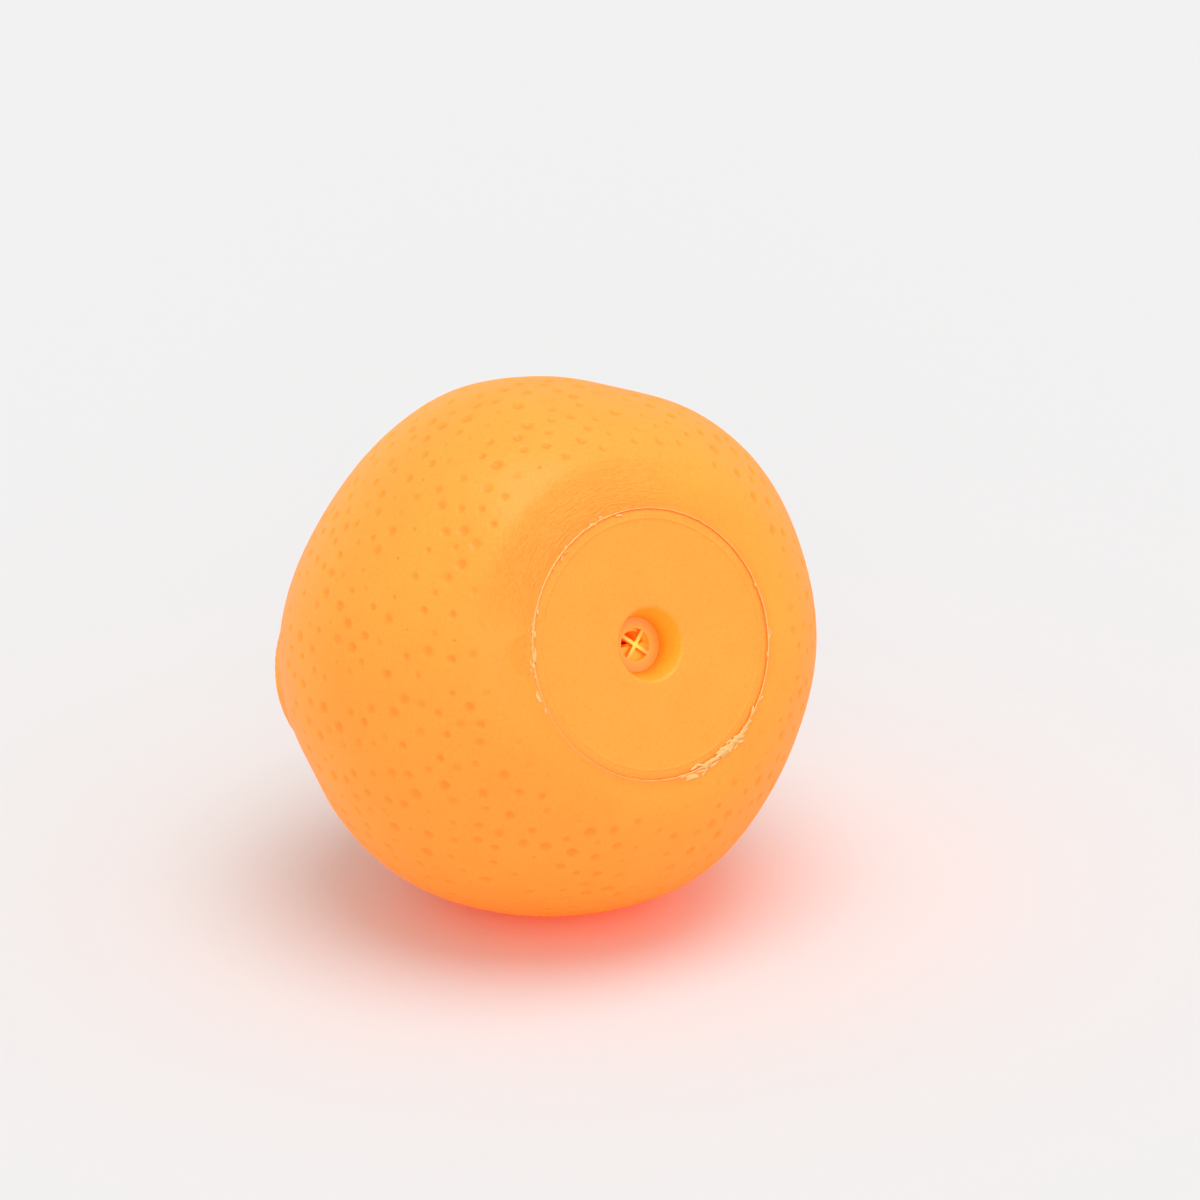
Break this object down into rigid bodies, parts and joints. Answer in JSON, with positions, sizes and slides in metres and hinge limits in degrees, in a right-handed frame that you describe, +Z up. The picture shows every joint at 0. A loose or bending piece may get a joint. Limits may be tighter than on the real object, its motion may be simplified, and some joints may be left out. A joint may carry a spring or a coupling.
{
  "type": "squeaky toy",
  "caption": "Soft hollow vinyl squeaky toy in the shape of an orange, lying on its side: dimpled skin, flat base with a tapered air hole, and a reed squeaker inside.",
  "frame": {"origin": "middle of the toy's box on X and Y, at the floor that the toy lies on", "axes": "+Z up; the base faces -Y, tilted 22 degrees up; the toy's round axis is in the YZ plane"},
  "size_m": [0.075, 0.0704, 0.074],
  "materials": {
    "orange_vinyl": "soft translucent vinyl, satin",
    "clear_plastic": "translucent moulded polyethylene",
    "reed_strip": "thin matt film"
  },
  "bodies": {
    "shell": {"skin_wall": "orange_vinyl", "base_plug": "orange_vinyl", "squeaker_case": "clear_plastic", "squeaker_cap": "clear_plastic", "reed_trough": "clear_plastic", "reed_root": "reed_strip", "reed_wedge": "clear_plastic"},
    "crown": {"skin_crown": "orange_vinyl"},
    "reed": {"reed_tongue": "reed_strip"}
  },
  "joints": [
    {"name": "squeeze", "type": "slide", "parent": "shell", "child": "crown", "axis": [0, -0.9272, 0.3746], "range_m": [0, 0.02], "stiffness_N_per_m": 1000, "deforming": ["skin_wall"]},
    {"name": "reed_beat", "type": "hinge", "parent": "shell", "child": "reed", "pos_m": [0, -0.02029, 0.04451], "axis": [-1, 0, 0], "range_deg": [-3.5, 5], "stiffness_Nm_per_rad": 0.0005}
  ]
}
